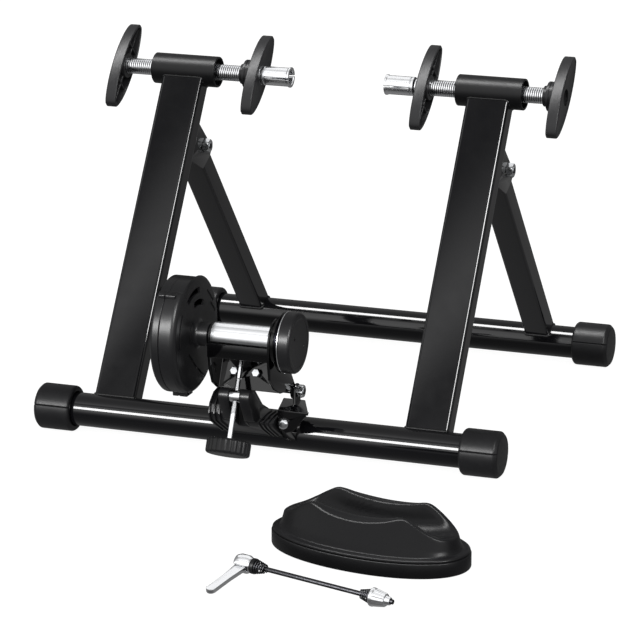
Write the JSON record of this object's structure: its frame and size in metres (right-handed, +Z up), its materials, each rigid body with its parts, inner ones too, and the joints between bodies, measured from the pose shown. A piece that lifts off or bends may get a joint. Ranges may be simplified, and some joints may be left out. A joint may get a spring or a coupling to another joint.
{
  "type": "turbo trainer",
  "caption": "Folding wheel-on turbo trainer: A-frame with screw clamps on the axle line, magnetic roller unit pressed to the tyre, riser block and skewer",
  "frame": {"origin": "middle of the footprint, on the floor; the riser block and the skewer count in the footprint", "axes": "+X the rider's right along the axle line, +Y the way the bicycle faces, +Z up"},
  "size_m": [0.6024, 0.9246, 0.4177],
  "materials": {
    "gloss_black_paint": "high gloss black powder coat",
    "black_sheet_steel": "semi-gloss black",
    "satin_black_plastic": "fine grained satin",
    "gloss_black_plastic": "moulded, semi-gloss",
    "black_rubber": "smooth matt rubber",
    "chrome_steel": "bright chrome plate",
    "zinc_steel": "zinc plated",
    "aluminium": "turned"
  },
  "bodies": {
    "main_frame": {"main_cross_tube": "gloss_black_paint", "main_left_foot_cap": "black_rubber", "main_right_foot_cap": "black_rubber", "left_main_leg": "gloss_black_paint", "right_main_leg": "gloss_black_paint", "left_axle_sleeve": "gloss_black_paint", "right_axle_sleeve": "gloss_black_paint", "left_thread_bush": "zinc_steel", "right_thread_bush": "zinc_steel", "left_hinge_bracket": "black_sheet_steel", "right_hinge_bracket": "black_sheet_steel", "left_hinge_bolt": "chrome_steel", "right_hinge_bolt": "chrome_steel", "left_hinge_nut": "chrome_steel", "right_hinge_nut": "chrome_steel", "base_casting": "satin_black_plastic", "pivot_bracket": "black_sheet_steel", "clamp_bolt": "chrome_steel", "pivot_bolt": "chrome_steel", "pivot_nut": "chrome_steel"},
    "fold_frame": {"fold_cross_tube": "gloss_black_paint", "fold_left_foot_cap": "black_rubber", "fold_right_foot_cap": "black_rubber", "left_fold_leg": "gloss_black_paint", "right_fold_leg": "gloss_black_paint"},
    "left_cup": {"left_axle_cup": "chrome_steel"},
    "left_screw": {"left_threaded_rod": "chrome_steel", "left_handle_knob": "satin_black_plastic"},
    "left_lock_carrier": {"left_lock_insert": "zinc_steel"},
    "left_lock": {"left_lock_knob": "satin_black_plastic"},
    "right_cup": {"right_axle_cup": "chrome_steel"},
    "right_screw": {"right_threaded_rod": "chrome_steel", "right_handle_knob": "satin_black_plastic"},
    "right_lock_carrier": {"right_lock_insert": "zinc_steel"},
    "right_lock": {"right_lock_knob": "satin_black_plastic"},
    "unit": {"yoke": "black_sheet_steel", "left_web_bolt": "chrome_steel", "right_web_bolt": "chrome_steel", "left_bearing": "zinc_steel", "right_bearing": "zinc_steel", "brake_inner_cover": "gloss_black_plastic", "brake_outer_cover": "gloss_black_plastic"},
    "spinner": {"roller": "chrome_steel", "roller_shaft": "zinc_steel", "flywheel": "chrome_steel", "flywheel_cap": "satin_black_plastic", "brake_rotor": "aluminium"},
    "magnets": {"magnet_plate": "zinc_steel"},
    "trunnion": {"trunnion_nut": "chrome_steel"},
    "pad": {"thrust_pad": "zinc_steel"},
    "adjuster": {"adjuster_rod": "chrome_steel", "adjuster_knob": "satin_black_plastic"},
    "riser_block": {"wheel_riser_block": "gloss_black_plastic"},
    "skewer": {"skewer_rod": "zinc_steel", "skewer_cam_seat": "chrome_steel", "skewer_washer": "black_rubber", "skewer_lever_spring": "zinc_steel"},
    "skewer_handle": {"skewer_lever": "chrome_steel"},
    "skewer_nut_carrier": {"skewer_nut_spring": "zinc_steel"},
    "skewer_nut": {"skewer_cone_nut": "chrome_steel"}
  },
  "joints": [
    {"name": "fold", "type": "hinge", "parent": "main_frame", "child": "fold_frame", "pos_m": [-0.02689, 0.22072, 0.2865], "axis": [-1, 0, 0], "range_deg": [0, 70]},
    {"name": "left_cup_slide", "type": "slide", "parent": "main_frame", "child": "left_cup", "axis": [1, 0, 0], "range_m": [-0.02401, 0.03401]},
    {"name": "left_screw_turn", "type": "hinge", "parent": "left_cup", "child": "left_screw", "pos_m": [-0.20311, 0.21872, 0.3756], "axis": [1, 0, 0], "range_deg": [-3456, 4896]},
    {"name": "left_lock_slide", "type": "slide", "parent": "left_screw", "child": "left_lock_carrier", "axis": [-1, 0, 0], "range_m": [0, 0.02401]},
    {"name": "left_lock_turn", "type": "hinge", "parent": "left_lock_carrier", "child": "left_lock", "pos_m": [-0.12311, 0.21872, 0.3756], "axis": [-1, 0, 0], "range_deg": [0, 3456]},
    {"name": "right_cup_slide", "type": "slide", "parent": "main_frame", "child": "right_cup", "axis": [-1, 0, 0], "range_m": [-0.03201, 0.02101]},
    {"name": "right_screw_turn", "type": "hinge", "parent": "right_cup", "child": "right_screw", "pos_m": [0.14689, 0.21872, 0.3756], "axis": [-1, 0, 0], "range_deg": [-4608, 3024]},
    {"name": "right_lock_slide", "type": "slide", "parent": "right_screw", "child": "right_lock_carrier", "axis": [1, 0, 0], "range_m": [0, 0.03201]},
    {"name": "right_lock_turn", "type": "hinge", "parent": "right_lock_carrier", "child": "right_lock", "pos_m": [0.07689, 0.21872, 0.3756], "axis": [1, 0, 0], "range_deg": [0, 4608]},
    {"name": "unit_swing", "type": "hinge", "parent": "main_frame", "child": "unit", "pos_m": [-0.02689, -0.02648, 0.07847], "axis": [-1, 0, 0], "range_deg": [0, 20.01]},
    {"name": "roller_spin", "type": "hinge", "parent": "unit", "child": "spinner", "pos_m": [-0.02689, -0.08228, 0.15017], "axis": [1, 0, 0], "continuous": true},
    {"name": "resistance_turn", "type": "hinge", "parent": "unit", "child": "magnets", "pos_m": [-0.10311, -0.08228, 0.15017], "axis": [1, 0, 0], "range_deg": [0, 45]},
    {"name": "trunnion_tilt", "type": "hinge", "parent": "main_frame", "child": "trunnion", "pos_m": [-0.03469, -0.08828, 0.08497], "axis": [-1, 0, 0], "range_deg": [0, 10.91]},
    {"name": "pad_feed", "type": "slide", "parent": "trunnion", "child": "pad", "axis": [0, 0.4226, 0.9063], "range_m": [0, 0.01971]},
    {"name": "adjuster_turn", "type": "hinge", "parent": "pad", "child": "adjuster", "pos_m": [-0.03469, -0.08828, 0.08497], "axis": [0, 0.4226, 0.9063], "range_deg": [0, 7092]},
    {"name": "block_lift", "type": "slide", "parent": "main_frame", "child": "riser_block", "axis": [0, 0, 1], "range_m": [0, 0.1]},
    {"name": "skewer_lift", "type": "slide", "parent": "main_frame", "child": "skewer", "axis": [0, 0, 1], "range_m": [0, 0.1]},
    {"name": "lever_swing", "type": "hinge", "parent": "skewer", "child": "skewer_handle", "pos_m": [0.09871, -0.40888, 0.017], "axis": [0.002, 0.2495, -0.9684], "range_deg": [0, 180]},
    {"name": "cone_nut_slide", "type": "slide", "parent": "skewer", "child": "skewer_nut_carrier", "axis": [-0.9805, 0.1906, 0.0471], "range_m": [0, 0.02001]},
    {"name": "cone_nut_turn", "type": "hinge", "parent": "skewer_nut_carrier", "child": "skewer_nut", "pos_m": [0.24158, -0.43665, 0.01014], "axis": [-0.9805, 0.1906, 0.0471], "range_deg": [0, 9000]}
  ],
  "couplings": [
    {"joint": "left_cup_slide", "follows": "left_screw_turn", "m_per_rad": 0.00039789},
    {"joint": "left_lock_slide", "follows": "left_lock_turn", "m_per_rad": 0.00039789},
    {"joint": "right_cup_slide", "follows": "right_screw_turn", "m_per_rad": 0.00039789},
    {"joint": "right_lock_slide", "follows": "right_lock_turn", "m_per_rad": 0.00039789},
    {"joint": "unit_swing", "follows": "adjuster_turn", "ratio": 0.0028201},
    {"joint": "trunnion_tilt", "follows": "adjuster_turn", "ratio": 0.0015369},
    {"joint": "pad_feed", "follows": "adjuster_turn", "m_per_rad": 0.00015915},
    {"joint": "cone_nut_slide", "follows": "cone_nut_turn", "m_per_rad": 0.00012732}
  ]
}
